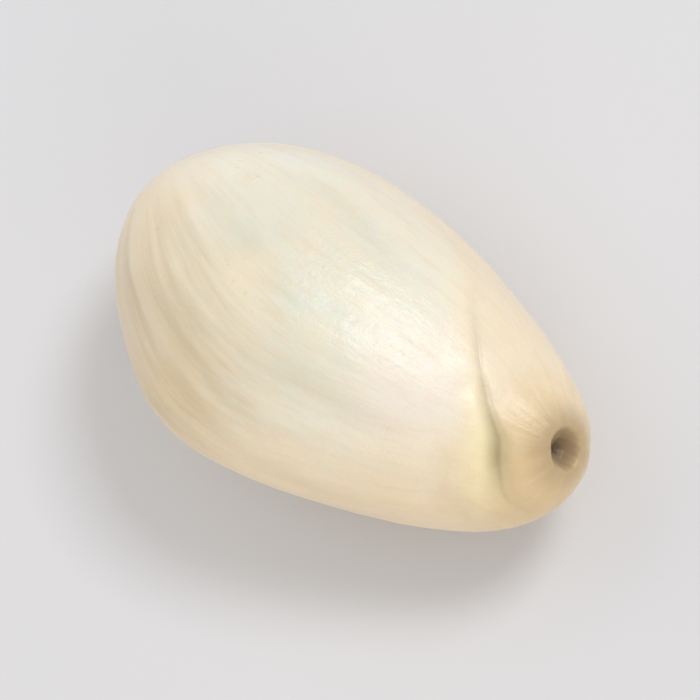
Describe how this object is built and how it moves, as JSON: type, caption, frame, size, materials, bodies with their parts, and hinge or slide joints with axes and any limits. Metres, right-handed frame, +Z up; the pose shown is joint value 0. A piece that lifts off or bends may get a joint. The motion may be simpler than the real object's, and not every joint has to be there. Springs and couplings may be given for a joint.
{
  "type": "pine nut kernel",
  "caption": "Shelled pine nut kernel: a plump ivory teardrop with softly faceted sides, and a slanting crease and a small dark pore at its narrow end.",
  "frame": {"origin": "on the surface the kernel lies on, under the middle of its box", "axes": "+X along the kernel towards its narrow end, +Y to its left, +Z up"},
  "size_m": [0.009, 0.0054, 0.0049],
  "materials": {
    "kernel": "waxy, oily satin seed flesh: ivory body, peach flanks, light tan tip, dark brown pore, faint lengthwise grain"
  },
  "bodies": {
    "root": {"kernel": "kernel"}
  },
  "joints": []
}
